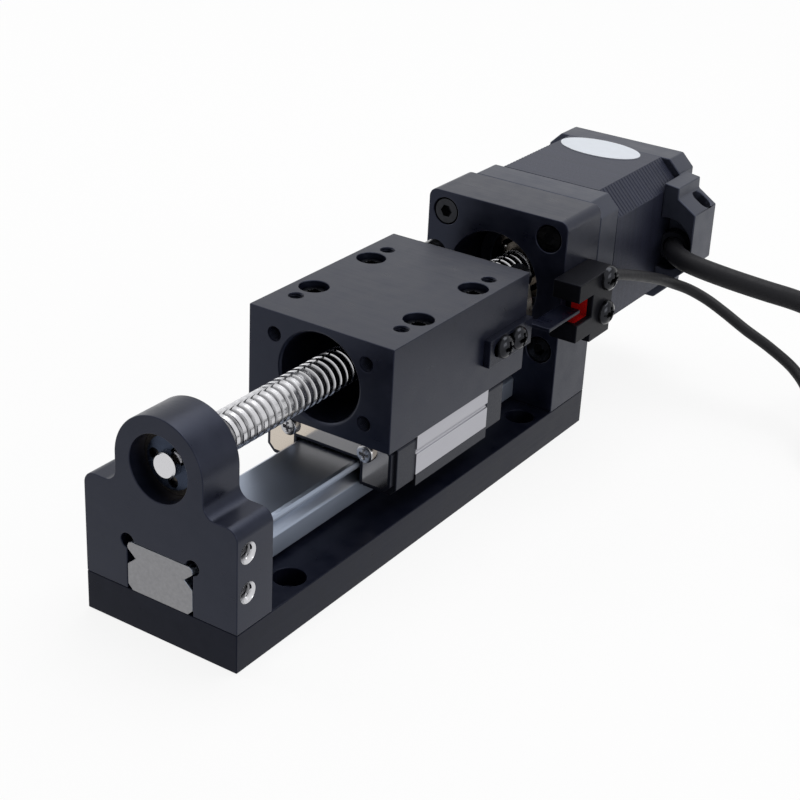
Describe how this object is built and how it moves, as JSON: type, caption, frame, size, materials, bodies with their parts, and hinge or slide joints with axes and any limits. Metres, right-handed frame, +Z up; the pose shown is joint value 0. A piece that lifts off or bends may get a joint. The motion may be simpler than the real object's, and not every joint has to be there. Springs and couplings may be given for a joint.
{
  "type": "ball screw linear module",
  "caption": "Compact ball screw linear module: grooved rail on a base, moving block on a guide carriage, stepping motor with its shaft as the screw, slotted home sensor with a flag, two cables.",
  "frame": {"origin": "Middle of the base plate's underside, which is the centre of its four mounting holes", "axes": "+X towards the sensor side, +Y along the screw towards the motor, +Z up out of the base"},
  "size_m": [0.1439, 0.1899, 0.0527],
  "materials": {
    "anodised_black": "satin black anodised",
    "base_anodised": "satin black anodised",
    "ground_steel": "ground steel",
    "screw_steel": "polished steel",
    "black_oxide": "black oxide",
    "nickel_screws": "nickel plated",
    "bearing_steel": "bright bearing steel",
    "ball_steel": "polished balls",
    "shield": "dark shield",
    "blue_steel": "blued spring steel",
    "bell_metal": "cast and machined",
    "lamination": "stacked sheets",
    "copper": "enamelled wire",
    "magnet": "matt",
    "label": "white film",
    "grommet": "soft black",
    "motor_cord": "grey sheath",
    "sensor_cord": "grey sheath",
    "plug_white": "natural nylon",
    "sensor_case": "black moulding",
    "sensor_red": "red filter",
    "seal_steel": "stainless plate",
    "cap_black": "black resin",
    "nut_steel": "bronzed steel",
    "wiper": "black",
    "flag_black": "black sheet"
  },
  "bodies": {
    "frame": {"base_plate": "base_anodised", "linear_rail": "ground_steel", "rail_screws": "black_oxide", "front_block": "anodised_black", "front_block_screws": "black_oxide", "front_bearing_outer": "bearing_steel", "front_bearing_balls": "ball_steel", "front_bearing_shields": "shield", "motor_block": "anodised_black", "motor_block_screws": "black_oxide", "motor_mount_screws": "black_oxide", "motor_front_bell": "bell_metal", "motor_stack": "lamination", "motor_windings": "copper", "motor_rear_bell": "bell_metal", "motor_body_screws": "nickel_screws", "drive_bearing_outer": "bearing_steel", "drive_bearing_balls": "ball_steel", "rear_bearing_outer": "bearing_steel", "rear_bearing_balls": "ball_steel", "preload_spring": "blue_steel", "motor_label": "label", "cable_grommet": "grommet", "motor_cable": "motor_cord", "motor_cable_coil": "motor_cord", "motor_cable_tail": "motor_cord", "motor_plug": "plug_white", "sensor_body": "sensor_case", "sensor_windows": "sensor_red", "sensor_screws": "nickel_screws", "sensor_sleeve": "sensor_cord", "sensor_cable": "sensor_cord", "sensor_cable_coil": "sensor_cord", "sensor_cable_tail": "sensor_cord", "sensor_plug": "plug_white"},
    "screw": {"front_bearing_inner": "bearing_steel", "shaft_clip": "blue_steel", "ball_screw": "screw_steel", "drive_bearing_inner": "bearing_steel", "rear_bearing_inner": "bearing_steel", "rotor_magnet": "magnet", "rotor_cores": "lamination"},
    "carriage": {"moving_block": "anodised_black", "block_bolts": "black_oxide", "guide_body": "ground_steel", "guide_cap_front": "cap_black", "guide_cap_rear": "cap_black", "guide_seal_front": "seal_steel", "guide_seal_rear": "seal_steel", "guide_cap_screws": "nickel_screws", "guide_strips": "cap_black", "guide_balls": "ball_steel", "ball_nut": "nut_steel", "nut_screws": "black_oxide", "nut_balls": "ball_steel", "nut_wipers": "wiper", "sensor_flag": "flag_black", "flag_screws": "nickel_screws"}
  },
  "joints": [
    {"name": "screw_spin", "type": "hinge", "parent": "frame", "child": "screw", "pos_m": [0, 0, 0.035], "axis": [0, 1, 0], "range_deg": [-360, 6480]},
    {"name": "carriage_slide", "type": "slide", "parent": "frame", "child": "carriage", "axis": [0, 1, 0], "range_m": [-0.036, 0.002]}
  ],
  "couplings": [
    {"joint": "screw_spin", "follows": "carriage_slide", "rad_per_m": -3141.6}
  ]
}
